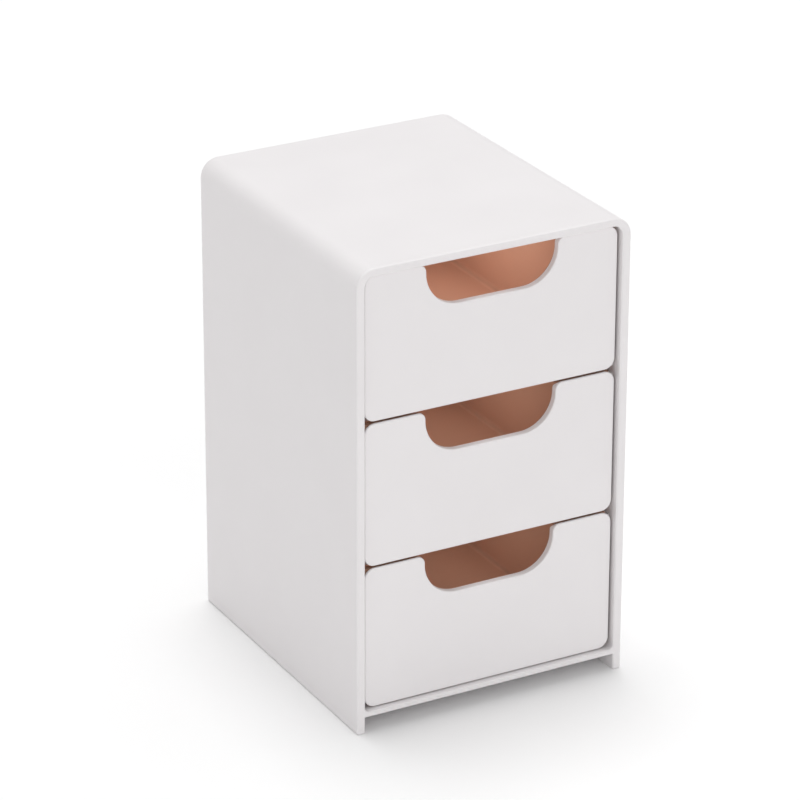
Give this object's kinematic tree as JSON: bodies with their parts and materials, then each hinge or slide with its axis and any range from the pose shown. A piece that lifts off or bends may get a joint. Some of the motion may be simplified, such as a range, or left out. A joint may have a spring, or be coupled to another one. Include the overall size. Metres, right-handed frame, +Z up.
{
  "type": "desk storage box",
  "caption": "Small upright desk storage box: a moulded casing with a rounded top, standing on two side skids, with inset drawers that slide out by finger notches.",
  "frame": {"origin": "on the floor, under the middle of the casing", "axes": "+Z up, the drawers face -Y and slide out along -Y, +X is to the right of someone facing them"},
  "size_m": [0.08, 0.09, 0.13],
  "materials": {
    "white_shell": "satin moulded white plastic with a fine even texture",
    "drawer_tub": "satin moulded brown plastic"
  },
  "bodies": {
    "casing": {"casing": "white_shell", "lower_shelf": "white_shell", "upper_shelf": "white_shell"},
    "bottom_drawer": {"bottom_drawer_front": "white_shell", "bottom_drawer_tub": "drawer_tub"},
    "middle_drawer": {"middle_drawer_front": "white_shell", "middle_drawer_tub": "drawer_tub"},
    "top_drawer": {"top_drawer_front": "white_shell", "top_drawer_tub": "drawer_tub"}
  },
  "joints": [
    {"name": "bottom_drawer_slide", "type": "slide", "parent": "casing", "child": "bottom_drawer", "axis": [0, -1, 0], "range_m": [0, 0.062]},
    {"name": "middle_drawer_slide", "type": "slide", "parent": "casing", "child": "middle_drawer", "axis": [0, -1, 0], "range_m": [0, 0.062]},
    {"name": "top_drawer_slide", "type": "slide", "parent": "casing", "child": "top_drawer", "axis": [0, -1, 0], "range_m": [0, 0.062]}
  ]
}
